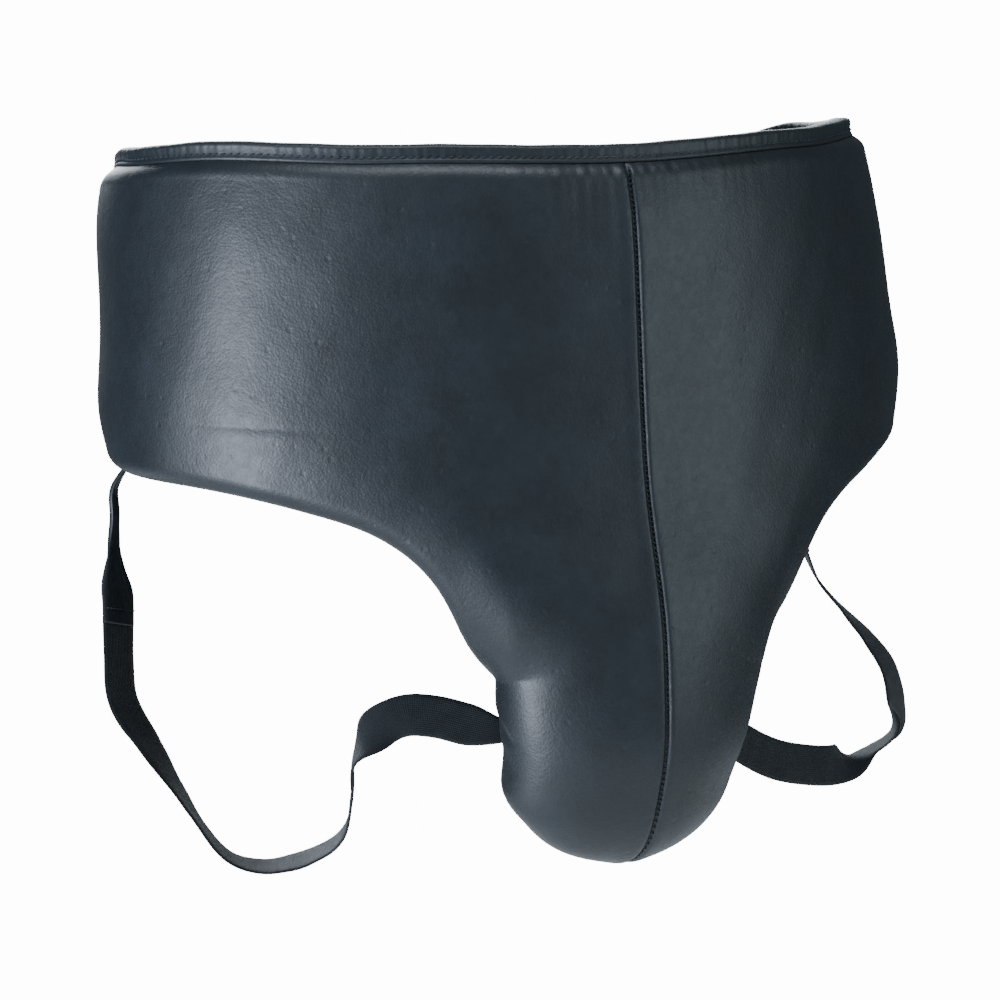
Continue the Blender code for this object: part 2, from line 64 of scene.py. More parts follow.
# The layers of the padding
PAD_HALF = 10.0
CROWN = 3.0  # how much the stuffing raises the outer face, away from the edges
CROWN_REACH = 45.0
RIDGE = 2.4  # how far the two panels stand out where they meet at the seam
COVER_LIP = 20.0
LINING_OFFSET = -9.2
BINDING_TOP = 7.0
BINDING_FOOT = 1.6
BINDING_HALF = 5.2

# The cup's pocket, in the pattern
CUP_CENTRE_W = 262.0
CUP_HALF_S, CUP_HALF_W = 59.0, 75.0
POCKET_EDGE = -11.8
POCKET_BULGE = 7.0

# Straps
STRAP_WIDTH, STRAP_THICK = 20.0, 1.5
TAB_WIDTH, TAB_THICK, TAB_SHARE = 21.0, 2.4, 0.19
WAIST_WIDTH, WAIST_THICK, WAIST_Z = 50.0, 1.8, -72.0
LOOP_ELASTIC_Y = 103.0
CLOSURE_HINGE = (-52.0, 108.3)
PATCH_THICK = 1.5
LAYER_GAP = 0.3
FLAP_LENGTH = 96.0
PULL_TAB_WIDTH, PULL_TAB_NARROWING, PULL_TAB_THICK = 22.0, 5.0, 3.0

# Stitches
STITCH_RADIUS = 0.32
STITCH_LINE = 0.9  # the height of the binding's stitches above the padding's top
BINDING_STITCH = 3.6  # from one stitch to the next
SEAM_STITCH = 2.5
SEAM_STITCHED = (11, 338)  # where the seam's stitches start and end, down the seam

# The leather folded round each wing's end
WING_PATCH_EDGE = 8.0  # from the wing's end to where the fold begins
WING_PATCH_REACH = 17.0
WING_PATCH_RADIUS = 11.4
WING_PATCH_CORNER = 10.0

# Dents and ridges in the leather: signed s, w, length along s, length down w, turn in degrees, height
DENTS = [
    (-178, 124, 24, 1.6, 3, -0.30),
    (-170, 129, 20, 2.0, 1, 0.20),
    (-180, 66, 26, 46, 0, 0.9),
    (-66, 262, 12, 1.5, 52, 0.9),
    (-72, 272, 11, 1.5, 58, 0.8),
    (-64, 270, 9, 2.6, 55, -1.1),
    (-62, 296, 9, 16, 0, -1.9),
    (-78, 240, 12, 3.5, 40, -0.7),
    (66, 266, 10, 1.8, -50, 0.8),
    (64, 276, 10, 2.4, -50, -0.8),
    (-92, 178, 34, 16, 35, 0.9),
    (-62, 214, 20, 15, 45, 1.0),
    (36, 222, 20, 24, -20, 1.2),
    (-30, 330, 26, 8, -10, 0.4),
    (205, 60, 46, 60, 0, 3.4),
    (-292, 28, 34, 30, 0, 3.2),
    (-292, 122, 30, 20, 0, 2.6),
    (62, 240, 20, 17, 0, 4.5),
    (46, 308, 26, 24, 0, -2.8),
    (-56, 304, 14, 24, 0, 2.4),
    (214, 118, 30, 30, 0, 3.4),
]

# Each leg strap: its route from the band to the cup, and the direction across it at shares of the route
STRAP_ROUTES = {
    RIGHT: [
        (-176.9, 36.3, -146.3), (-184, 40, -159), (-185, 39, -173), (-187, 36, -191), (-188, 30, -212),
        (-191, 24, -236), (-192, 18, -258), (-184, 9, -277), (-174, 2, -297), (-165, -9, -317),
        (-156, -19, -331), (-140, -27, -336), (-121, -38, -331), (-111, -50, -320), (-110, -59, -301),
        (-112, -67, -282), (-104, -76, -268), (-93, -83, -262), (-80, -89, -263), (-67, -95, -267),
        (-56, -100.5, -270), (-48, -102.8, -271.5), (-43, -104.2, -272.5),
    ],
    LEFT: [
        (177.2, 36.9, -146.1), (183, 38, -159), (185, 39, -173), (186, 36, -191), (188, 29, -211),
        (192, 21, -230), (201, 12, -245), (209, 2, -258), (214, -9, -273), (211, -21, -288),
        (202, -33, -299), (189, -41, -306), (171, -49, -310), (150, -60, -311), (126, -70, -307),
        (105, -79, -301), (84, -89, -291), (68, -96.5, -281), (56, -100.5, -276), (48, -102.8, -274),
        (43, -104.2, -273),
    ],
}
STRAP_FACINGS = {
    RIGHT: [
        (0.0, (0.43, 0.90, 0)), (0.07, (0.43, 0.90, 0)), (0.17, (0.92, 0.38, 0)), (0.30, (0.92, 0.38, 0)),
        (0.47, (0.50, 0.86, 0)), (0.60, (0.42, 0.86, 0.25)), (0.76, (0.45, 0.89, 0.05)),
        (0.85, (-0.50, 0.20, 0.80)), (0.90, (0, 0, 1)), (1.0, (0, 0, 1)),
    ],
    LEFT: [
        (0.0, (-0.43, 0.90, 0)), (0.15, (0.30, 0.95, 0)), (0.25, (0.454, 0.89, 0)),
        (0.40, (0.69, 0.68, 0.24)), (0.50, (0.69, 0.68, 0.24)), (0.585, (0.45, 0.89, 0)),
        (0.68, (0.10, 0.10, 1)), (1.0, (0, 0, 1)),
    ],
}

# The width of the webbing and of the tabs, as shares of their full width
WEBBING_WIDTHS = [(0, 1), (0.93, 1), (1, 0.4)]
TAB_WIDTHS = {
    RIGHT: [(0, 0.36), (0.3, 0.58), (0.55, 0.6), (0.85, 1.0), (1, 0.98)],
    LEFT: [(0, 0.36), (0.3, 0.6), (0.7, 0.85), (1, 0.98)],
}

# The stage: angles in degrees, lengths in metres
CAMERA_AZIMUTH, CAMERA_ELEVATION, CAMERA_ROLL = -27.0, 5.5, -1.5
CAMERA_DISTANCE = 2.3
CAMERA_TARGET = (0.0, -0.020, -0.165)
CAMERA_LENS = 171.8
CAMERA_SHIFT = (-0.016, -0.016)
FLOOR_DROP = 0.42
FLOOR_RADIUS = 1.25
SKY_SEEN, SKY_CAST = 14.0, 0.12
SKY_CAST_COLOUR = (0.74, 0.88, 1.0)

# Softboxes: place, size across and up, power in watts, colour. Each one faces the object.
LIGHTS = {
    "key": ((-2.25, -0.62, -0.42), (0.58, 1.1), 112, (0.80, 0.87, 1.0)),
    "top": ((-0.3, -1.1, 2.2), (1.8, 0.9), 64, (0.84, 0.93, 1.0)),
    "low": ((-0.7, -1.9, -1.35), (1.3, 0.5), 11, (0.78, 0.92, 1.0)),
    "fill": ((1.5, -1.7, 0.05), (0.5, 1.5), 20, (0.78, 0.93, 1.0)),
    "back": ((0.5, 2.3, 0.75), (1.8, 1.0), 85, (0.86, 0.94, 1.0)),
}


def eased(x, keys):
    """The value at x of a line through the keys that starts and ends level at each of them."""
    at, value = np.array(keys, float).T
    i = np.clip(np.searchsorted(at, x) - 1, 0, len(at) - 2)
    share = np.clip((x - at[i]) / (at[i + 1] - at[i]), 0, 1)
    share = share * share * (3 - 2 * share)
    return value[i] * (1 - share) + value[i + 1] * share


def smooth_line(points, count):
    """count points, evenly spaced, on a smooth curve through the given points."""
    p = np.array(points, float)
    p = np.vstack([2 * p[0] - p[1], p, 2 * p[-1] - p[-2]])
    t = np.linspace(0, 1, 40, endpoint=False)[:, None]
    spans = []
    for a, b, c, d in zip(p, p[1:], p[2:], p[3:]):
        bend = (2 * a - 5 * b + 4 * c - d) * t**2 + (3 * b - a - 3 * c + d) * t**3
        spans.append(0.5 * (2 * b + (c - a) * t + bend))
    line = np.vstack([*spans, p[-2:-1]])
    along = np.concatenate([[0], np.cumsum(np.linalg.norm(np.diff(line, axis=0), axis=1))])
    even = np.linspace(0, along[-1], count)
    return np.stack([np.interp(even, along, line[:, k]) for k in range(line.shape[1])], axis=1)


def unit(v):
    return v / np.linalg.norm(v, axis=-1, keepdims=True)


def mix(low, high, share):
    return low + (high - low) * share


def ease(t):
    t = np.clip(t, 0, 1)
    return t * t * (3 - 2 * t)


def hump(x, width):
    """1 at 0, falling smoothly to nothing over about twice the width."""
    return np.exp(-((x / width) ** 2))


class Body:
    """Bends the flat pattern round the hips and the cup."""

    START = -40.0
    WIDEST = 400
    TURNS = 361

    def __init__(self):
        self.w = np.arange(self.START, EDGE[0][1] + 40.0)
        lean = np.radians(eased(self.w, SEAM_LEAN))
        top = int(-self.START)
        forward = np.concatenate([[0], np.cumsum(np.sin((lean[1:] + lean[:-1]) / 2))])
        down = np.concatenate([[0], np.cumsum(np.cos((lean[1:] + lean[:-1]) / 2))])
        self.seam_y = -HALF_DEPTH[0][1] - (forward - forward[top])
        self.seam_z = down[top] - down
        self.tilt = lean * eased(self.w, SECTION_TILT)
        self.half_width = eased(self.w, HALF_WIDTH)
        self.half_depth = eased(self.w, HALF_DEPTH)
        turn = np.linspace(0, math.pi, self.TURNS)
        pace = np.hypot(self.half_width[:, None] * np.cos(turn), self.half_depth[:, None] * np.sin(turn))
        steps = (pace[:, 1:] + pace[:, :-1]) / 2 * turn[1]
        length = np.concatenate([np.zeros((len(self.w), 1)), np.cumsum(steps, axis=1)], axis=1)
        even = np.arange(self.WIDEST)
        self.turn = np.array([np.interp(even, row, turn) for row in length])

    def turn_at(self, s, w):
        """The angle round the section at distance s from the centre seam."""
        i = np.clip(w - self.START, 0, len(self.w) - 1.001)
        j = np.clip(s, 0, self.WIDEST - 1.001)
        i0, j0 = i.astype(int), j.astype(int)
        fi, fj = i - i0, j - j0
        near = self.turn[i0, j0] * (1 - fj) + self.turn[i0, j0 + 1] * fj
        far = self.turn[i0 + 1, j0] * (1 - fj) + self.turn[i0 + 1, j0 + 1] * fj
        return near * (1 - fi) + far * fi

    def middle(self, s, w):
        side = np.where(s < 0, -1.0, 1.0)
        turn = self.turn_at(np.abs(s), w)
        depth = np.interp(w, self.w, self.half_depth) * (1 - np.cos(turn))
        tilt = np.interp(w, self.w, self.tilt)
        x = side * np.interp(w, self.w, self.half_width) * np.sin(turn)
        y = np.interp(w, self.w, self.seam_y) + depth * np.cos(tilt)
        z = np.interp(w, self.w, self.seam_z) - depth * np.sin(tilt)
        return np.stack([x, y, z], axis=-1)

    def place(self, s, w, offset):
        """Points in millimetres for places in the pattern."""
        step = 0.5
        s, w, offset = np.broadcast_arrays(np.asarray(s, float), w, offset)
        down = self.middle(s, w + step) - self.middle(s, w - step)
        across = self.middle(s + step, w) - self.middle(s - step, w)
        return self.middle(s, w) + unit(np.cross(down, across)) * offset[..., None]


class Pattern:
    """The flat pattern of one half, as columns from the rim to the edge that meet the edge squarely."""

    COLUMNS = 400
    TOP_PULL = 0.9
    EDGE_PULL = 0.45
    SEAM_PULL = 2.4  # keeps the columns beside the centre seam on their own side of it

    def __init__(self):
        edge = smooth_line(EDGE, self.COLUMNS)
        crowded = (self.COLUMNS - 1) * np.linspace(0, 1, self.COLUMNS) ** EDGE_CROWDING
        edge = np.stack([np.interp(crowded, np.arange(self.COLUMNS), edge[:, k]) for k in (0, 1)], axis=1)
        along = unit(np.gradient(edge, axis=0))
        outward = np.stack([-along[:, 1], along[:, 0]], axis=1)
        outward[0] = (0, 1)
        rim_s = WING_END * np.linspace(0, 1, self.COLUMNS) ** TOP_CROWDING
        rim = np.stack([rim_s, eased(rim_s, RIM)], axis=1)
        reach = np.linalg.norm(edge - rim, axis=1, keepdims=True)
        leave = np.array([[0.0, 1.0]]) * reach * self.TOP_PULL
        arrive = outward * reach * self.EDGE_PULL
        arrive[:, 0] = np.minimum(arrive[:, 0], self.SEAM_PULL * edge[:, 0])
        t = np.linspace(0, 1, 120)[None, :, None]
        self.lines = (
            (2 * t**3 - 3 * t**2 + 1) * rim[:, None]
            + (t**3 - 2 * t**2 + t) * leave[:, None]
            + (3 * t**2 - 2 * t**3) * edge[:, None]
            + (t**3 - t**2) * arrive[:, None]
        )
        steps = np.linalg.norm(np.diff(self.lines, axis=1), axis=2)
        self.down = np.concatenate([np.zeros((self.COLUMNS, 1)), np.cumsum(steps, axis=1)], axis=1)

    def height(self, u):
        """The length of the column at u, which is 0 at the centre seam and 1 at the wing's end."""
        return np.interp(u, np.linspace(0, 1, self.COLUMNS), self.down[:, -1])

    def at(self, u, down):
        """The (s, w) of the place a distance down the column at u."""
        u, down = np.broadcast_arrays(np.asarray(u, float), down)
        flat_u, flat_down = u.ravel(), down.ravel()
        i = np.clip(flat_u * (self.COLUMNS - 1), 0, self.COLUMNS - 1.001)
        low = i.astype(int)
        share = flat_down / self.height(flat_u)
        found = np.zeros((2, len(flat_u)))
        for k in range(len(flat_u)):
            ends = []
            for c in (low[k], low[k] + 1):
                reach = share[k] * self.down[c, -1]
                ends.append([np.interp(reach, self.down[c], self.lines[c, :, n]) for n in (0, 1)])
            between = i[k] - low[k]
            found[:, k] = np.array(ends[0]) * (1 - between) + np.array(ends[1]) * between
        return found[0].reshape(u.shape), found[1].reshape(u.shape)


BODY = Body()
PATTERN = Pattern()


# ---------------------------------------------------------------- materials


def shader_material(name, colour, roughness, specular=0.5):
    """A Principled material, with its node tree and shader to build on."""
    made = bpy.data.materials.new(name)
    made.use_nodes = True
    shader = made.node_tree.nodes["Principled BSDF"]
    shader.inputs["Base Color"].default_value = (*colour, 1)
    shader.inputs["Roughness"].default_value = roughness
    shader.inputs["Specular IOR Level"].default_value = specular
    return made, made.node_tree, shader


def node(tree, kind, **values):
    """A new node; values are its properties, or its inputs where the name is one of theirs."""
    made = tree.nodes.new(kind)
    for key, value in values.items():
        if hasattr(made, key):
            setattr(made, key, value)
        else:
            made.inputs[key.replace("_", " ")].default_value = value
    return made


def coordinates(tree, output="Object"):
    return node(tree, "ShaderNodeTexCoord").outputs[output]


def colour_range(tree, factor, low, high, low_at=0.3, high_at=0.7):
    ramp = node(tree, "ShaderNodeValToRGB")
    ramp.color_ramp.elements[0].position = low_at
    ramp.color_ramp.elements[0].color = (*low, 1)
    ramp.color_ramp.elements[1].position = high_at
    ramp.color_ramp.elements[1].color = (*high, 1)
    tree.links.new(factor, ramp.inputs["Fac"])
    return ramp.outputs["Color"]


def add_bump(tree, height, strength, distance, before=None):
    bump = node(tree, "ShaderNodeBump", Strength=strength, Distance=distance)
    tree.links.new(height, bump.inputs["Height"])
    if before:
        tree.links.new(before, bump.inputs["Normal"])
    return bump.outputs["Normal"]


def leather_material(name, dark, light, roughness, grain=1.0):
    """Painted leather: pebbled grain, scattered pits, fine creases, slightly uneven colour and gloss."""
    made, tree, shader = shader_material(name, light, roughness, specular=0.5)
    place = coordinates(tree)
    tone = node(tree, "ShaderNodeTexNoise", Scale=38.0, Detail=5.0, Roughness=0.6)
    pebbles = node(tree, "ShaderNodeTexVoronoi", Scale=780.0)
    creases = node(tree, "ShaderNodeTexNoise", Scale=210.0, Detail=6.0, Roughness=0.65, Distortion=0.8)
    pits = node(tree, "ShaderNodeTexVoronoi", Scale=95.0)
    dents = node(tree, "ShaderNodeTexNoise", Scale=26.0, Detail=3.0, Roughness=0.5)
    for texture in (tone, pebbles, creases, pits, dents):
        tree.links.new(place, texture.inputs["Vector"])
    tree.links.new(colour_range(tree, tone.outputs["Fac"], dark, light), shader.inputs["Base Color"])
    gloss = node(tree, "ShaderNodeMapRange", To_Min=roughness - 0.07, To_Max=roughness + 0.10)
    tree.links.new(creases.outputs["Fac"], gloss.inputs["Value"])
    tree.links.new(gloss.outputs["Result"], shader.inputs["Roughness"])
    pit_depth = colour_range(tree, pits.outputs["Distance"], (0, 0, 0), (1, 1, 1), 0.04, 0.16)
    normal = add_bump(tree, pebbles.outputs["Distance"], 0.17 * grain, 0.0004)
    normal = add_bump(tree, creases.outputs["Fac"], 0.20 * grain, 0.0007, normal)
    normal = add_bump(tree, pit_depth, 0.24 * grain, 0.0005, normal)
    normal = add_bump(tree, dents.outputs["Fac"], 0.18 * grain, 0.0030, normal)
    tree.links.new(normal, shader.inputs["Normal"])
    return made


def webbing_material(name, dark, light):
    """Woven elastic: fine ribs along its length and small cross threads."""
    made, tree, shader = shader_material(name, light, 0.78, specular=0.25)
    place = coordinates(tree, "UV")
    ribs = node(tree, "ShaderNodeTexWave", bands_direction="X", Scale=3.2, Distortion=0.0)
    threads = node(tree, "ShaderNodeTexWave", bands_direction="Y", Scale=3.6, Distortion=0.6, Detail=1.0)
    tone = node(tree, "ShaderNodeTexNoise", Scale=1.2, Detail=4.0)
    for texture in (ribs, threads, tone):
        tree.links.new(place, texture.inputs["Vector"])
    tree.links.new(colour_range(tree, tone.outputs["Fac"], dark, light), shader.inputs["Base Color"])
    normal = add_bump(tree, threads.outputs["Fac"], 0.35, 0.00025)
    normal = add_bump(tree, ribs.outputs["Fac"], 0.55, 0.00040, normal)
    tree.links.new(normal, shader.inputs["Normal"])
    shader.inputs["Sheen Weight"].default_value = 0.15
    shader.inputs["Sheen Roughness"].default_value = 0.4
    return made


def cloth_material(name, dark, light, roughness=0.9, scale=900.0):
    made, tree, shader = shader_material(name, light, roughness, specular=0.2)
    place = coordinates(tree)
    weave = node(tree, "ShaderNodeTexVoronoi", Scale=scale, distance="CHEBYCHEV")
    tone = node(tree, "ShaderNodeTexNoise", Scale=60.0, Detail=5.0)
    for texture in (weave, tone):
        tree.links.new(place, texture.inputs["Vector"])
    tree.links.new(colour_range(tree, tone.outputs["Fac"], dark, light), shader.inputs["Base Color"])
    tree.links.new(add_bump(tree, weave.outputs["Distance"], 0.35, 0.0004), shader.inputs["Normal"])
    return made


MATERIALS = {
    "black_leather": leather_material(
        "painted_leather", (0.0032, 0.0054, 0.0076), (0.0064, 0.0103, 0.0142), 0.47),
    "binding_leather": leather_material(
        "binding_leather", (0.0036, 0.0058, 0.008), (0.0072, 0.0112, 0.015), 0.50, 0.7),
    "black_elastic": webbing_material("black_webbing", (0.0028, 0.0046, 0.0062), (0.0058, 0.0090, 0.0118)),
    "lining_cloth": cloth_material("black_lining", (0.012, 0.014, 0.017), (0.024, 0.028, 0.033)),
    "foam": cloth_material("foam", (0.20, 0.21, 0.23), (0.28, 0.29, 0.31), 0.95, 420.0),
    "cup_plastic": cloth_material("cup_plastic", (0.58, 0.58, 0.56), (0.64, 0.64, 0.62), 0.38, 60.0),
    "rubber": cloth_material("rubber", (0.04, 0.04, 0.04), (0.06, 0.06, 0.06), 0.7, 300.0),
    "black_thread": cloth_material(
        "waxed_thread", (0.012, 0.017, 0.022), (0.038, 0.048, 0.058), 0.6, 2200.0),
}

# ---------------------------------------------------------------- building blocks


def finish_piece(name, bm, look, body, replaced=()):
    """Turns the mesh into a smooth piece that rides on the body and stands for the CAD nodes."""
    bmesh.ops.recalc_face_normals(bm, faces=bm.faces[:])
    mesh = bpy.data.meshes.new(name)
    bm.to_mesh(mesh)
    bm.free()
    mesh.materials.append(MATERIALS[look])
    mesh.shade_smooth()
    piece = bpy.data.objects.new(name, mesh)
    bpy.context.scene.collection.objects.link(piece)
    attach(piece, body)
    if replaced:
        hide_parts(*replaced)
    return piece


def add_grid(bm, points, uv=None, wrap=False):
    """Quads between points, an array of rows by columns by 3 in millimetres. uv is in millimetres too."""
    rows, columns = points.shape[:2]
    verts = [[bm.verts.new(place * MM) for place in row] for row in points]
    layer = bm.loops.layers.uv.verify()
    for i in range(rows - 1):
        for j in range(columns if wrap else columns - 1):
            corners = [(i, j), (i, j + 1), (i + 1, j + 1), (i + 1, j)]
            face = bm.faces.new([verts[a][b % columns] for a, b in corners])
            if uv is not None:
                for loop, (a, b) in zip(face.loops, corners):
                    loop[layer].uv = uv[a, b % columns] / 10
    return verts


def add_tube(bm, line, radii, sides=6):
    """A round closed tube along the line; radii is one radius for each point."""
    along = unit(np.gradient(line, axis=0))
    helper = np.array([0.0, 0.0, 1.0]) if abs(along[0][2]) < 0.8 else np.array([1.0, 0.0, 0.0])
    across = unit(np.cross(along, helper))
    out = np.cross(along, across)
    turn = np.linspace(0, 2 * math.pi, sides, endpoint=False)
    ring = np.cos(turn)[None, :, None] * across[:, None] + np.sin(turn)[None, :, None] * out[:, None]
    verts = add_grid(bm, line[:, None] + ring * np.asarray(radii)[:, None, None], wrap=True)
    bm.faces.new(verts[0])
    bm.faces.new(verts[-1])


def stitch_row(name, ends, normals, body, bulge=0.35, radius=STITCH_RADIUS):
    """Separate stitches between pairs of points, each bowed outwards and dipping in at both ends."""
    bm = bmesh.new()
    shares = np.linspace(0, 1, 5)
    for (a, b), normal in zip(ends, normals):
        rise = bulge * (1 - (2 * shares - 1) ** 2) - 0.25
        line = a + (b - a) * shares[:, None] + normal * rise[:, None]
        add_tube(bm, line, radius * np.array([0.7, 1, 1.1, 1, 0.7]), 5)
    return finish_piece(name, bm, "black_thread", body)


class Strap:
    """A flat strap along a smooth route. facings are (share of the route, direction across the strap)."""

    COUNT = 600

    def __init__(self, route, facings):
        self.line = smooth_line(route, self.COUNT)
        along = unit(np.gradient(self.line, axis=0))
        shares = np.linspace(0, 1, self.COUNT)
        keys = np.array([[share, *direction] for share, direction in facings], float)
        keys[:, 1:] = unit(keys[:, 1:])
        across = np.stack([eased(shares, list(zip(keys[:, 0], keys[:, k]))) for k in (1, 2, 3)], axis=1)
        self.across = unit(across - along * np.sum(across * along, axis=1, keepdims=True))
        self.face = np.cross(along, self.across)
        self.length = float(np.sum(np.linalg.norm(np.diff(self.line, axis=0), axis=1)))

    def read(self, table, shares):
        at = np.asarray(shares) * (self.COUNT - 1)
        return np.stack([np.interp(at, np.arange(self.COUNT), table[:, k]) for k in range(3)], axis=-1)

    def place(self, share, sideways, out):
        """Points at shares of the route, offset sideways and out of the face, in millimetres."""
        share, sideways, out = np.broadcast_arrays(share, sideways, out)
        middle, across, face = (self.read(t, share) for t in (self.line, self.across, self.face))
        return middle + across * sideways[..., None] + face * out[..., None]


def strap_piece(name, strap, start, end, width, thick, look, body, replaced, steps, relief=None):
    """A solid strap between two shares of its route. relief(share, across) lifts both faces, in mm."""
    shares = np.linspace(start, end, steps)
    cells = 12
    flat = np.linspace(-1, 1, cells + 1)
    edge = 0.5 * thick * np.sqrt(np.clip(1 - np.abs(flat) ** 8, 0, 1))
    ring_across = np.concatenate([flat, flat[::-1]])
    ring_out = np.concatenate([edge + 0.02, -edge[::-1] - 0.02])
    widths = np.broadcast_to(width, shares.shape) if not callable(width) else width(shares)
    sideways = 0.5 * widths[:, None] * ring_across[None, :]
    out = np.broadcast_to(ring_out, sideways.shape)
    if relief:
        out = out + relief(shares[:, None], ring_across[None, :])
    points = strap.place(shares[:, None], sideways, out)
    uv = np.stack([sideways, np.broadcast_to(shares[:, None] * strap.length, sideways.shape)], axis=-1)
    bm = bmesh.new()
    verts = add_grid(bm, points, uv, wrap=True)
    bm.faces.new(verts[0])
    bm.faces.new(verts[-1])
    return finish_piece(name, bm, look, body, replaced)


def side_name(side):
    return "left" if side == LEFT else "right"


def rolled(radius, edge):
    """The offset of a layer of that radius at a distance from the edge that it is rolled round."""
    return np.sqrt(np.maximum(radius**2 - np.clip(PAD_HALF - edge, 0, PAD_HALF) ** 2, 0))


# ---------------------------------------------------------------- the padded band and cup


def ripple(a, b, seed):
    """A smooth uneven wave from about -1 to 1."""
    turn = np.sin(seed * 12.9898) * 7
    slow, slanted = np.sin(1.7 * a + 0.9 * b + 2 * turn), np.sin(0.6 * a - 1.3 * b + 3 * turn)
    return (np.sin(a + turn) + slow + slanted) / 3


def relief(s, w, down):
    """How far the outer face stands out of its even shape, in millimetres. s has the side's sign."""
    near = np.abs(s)
    sewn = 1 - ease((w - 336) / 16)
    ridge = RIDGE * np.exp(-near / 24) * ease((w - 4) / 30) * sewn
    groove = (-1.9 * hump(near, 1.15) + 0.25 * hump(near - 4, 3)) * sewn
    gathers = np.exp(-down / 13.0) * (0.10 + 0.55 * hump(near - 8, 46)) * ripple(s * 0.62, down * 0.05, 1)
    rolls = 0.35 * ripple(s / 19, w / 24, 2) + 0.18 * ripple(s / 7.5, w / 9.5, 3)
    total = ridge + groove + gathers + rolls
    for at_s, at_w, long_s, long_w, turn, height in DENTS:
        c, n = math.cos(math.radians(turn)), math.sin(math.radians(turn))
        x, y = (s - at_s) * c + (w - at_w) * n, (w - at_w) * c - (s - at_s) * n
        total = total + height * hump(x, long_s) * hump(y, long_w)
    return total


def cover(side):
    """One leather panel, from the binding down the front, round the lower edge and in behind it."""
    columns, face_rows, roll_rows, lip_rows = 190, 170, 16, 5
    u = np.linspace(0, 1, columns) ** 1.08
    height = PATTERN.height(u)
    rows, offsets = [], []
    for share in np.linspace(0, 1, face_rows):
        down = mix(1.0, height - PAD_HALF, share)
        rows.append(down)
        offsets.append(rolled(PAD_HALF, down))
    for step in range(1, roll_rows + 1):
        turn = math.pi * step / roll_rows
        rows.append(height - PAD_HALF + PAD_HALF * math.sin(turn))
        offsets.append(np.full_like(u, PAD_HALF * math.cos(turn)))
    for step in range(1, lip_rows + 1):
        rows.append(height - PAD_HALF - (COVER_LIP - PAD_HALF) * step / lip_rows)
        offsets.append(np.full_like(u, -PAD_HALF))
    down, offset = np.array(rows), np.array(offsets)
    s, w = PATTERN.at(np.broadcast_to(u, down.shape), down)
    front = offset > -0.5 * PAD_HALF
    end = rolled(PAD_HALF, WING_END - s) / PAD_HALF
    to_edge = np.minimum(np.minimum(down, height - down), WING_END - s)
    rise = np.clip((to_edge - PAD_HALF) / CROWN_REACH, 0, 1)
    lift = CROWN * rise * (2 - rise) + relief(side * s, w, down) * ease(down / 6) * ease((offset + 2) / 9)
    offset = offset * end + np.where(front, lift, 0) * ease(end * 1.4)
    points = BODY.place(side * s, w, offset)
    bm = bmesh.new()
    add_grid(bm, points)
    name = side_name(side)
    replaced = [f"{name}_cover_panel"]
    piece = finish_piece(f"{name}_cover", bm, "black_leather", "band", replaced)
    return piece


def lining(side):
    """One cloth panel over the padding's inner face, from the binding to the turned-in leather."""
    columns, face_rows = 120, 90
    u = np.linspace(0, 1, columns)
    height = PATTERN.height(u)
    down = np.array([mix(1.0, height - COVER_LIP + 1.5, share) for share in np.linspace(0, 1, face_rows)])
    s, w = PATTERN.at(np.broadcast_to(u, down.shape), down)
    end = rolled(-LINING_OFFSET, WING_END - s)
    offset = -np.minimum(rolled(-LINING_OFFSET, down + 1.2), end)
    offset = offset + 0.25 * ripple(side * s / 16, w / 20, 5) * ease(down / 20)
    bm = bmesh.new()
    add_grid(bm, BODY.place(side * s, w, offset))
    name = side_name(side)
    replaced = [f"{name}_lining_panel"]
    return finish_piece(f"{name}_lining", bm, "lining_cloth", "band", replaced)


def binding_section(turn_steps=22):
    """The binding's outline, as offset and height, from the front foot over the top to the back foot."""
    turn = np.linspace(0, math.pi, turn_steps)
    round_top = BINDING_TOP - 2.6
    top = []
    for t in turn:
        across = math.copysign(abs(math.cos(t)) ** 0.6, math.cos(t))
        top.append((BINDING_HALF * across, round_top + 2.6 * math.sin(t) ** 0.7))
    foot = [(BINDING_HALF + 0.9, -BINDING_FOOT), (BINDING_HALF + 0.35, -0.2), (BINDING_HALF, 1.2)]
    back = [(-x, y) for x, y in reversed(foot)]
    under = [(-2.0, -BINDING_FOOT), (2.0, -BINDING_FOOT)]
    return np.array(foot + top + back + under)


def binding():
    """The strip folded over the whole top edge, slightly gathered by its stitches."""
    s = np.linspace(-WING_END, WING_END, 900)
    section = binding_section()
    swell = 1 + 0.035 * ripple(s * 0.9, s * 0.05, 4)[:, None] * (section[None, :, 1] > 0)
    offset = section[None, :, 0] * swell
    rise = section[None, :, 1] + 0.25 * ripple(s / 9, s / 31, 6)[:, None] * (section[None, :, 1] > 3)
    pinch = 0.35 * hump(section[None, :, 1] - STITCH_LINE, 0.9) * np.sign(offset)
    points = BODY.place(s[:, None], eased(np.abs(s), RIM)[:, None] - rise, offset - pinch)
    bm = bmesh.new()
    verts = add_grid(bm, points, wrap=True)
    bm.faces.new(verts[0])
    bm.faces.new(verts[-1])
    return finish_piece("top_binding_strip", bm, "binding_leather", "band", ["top_binding"])


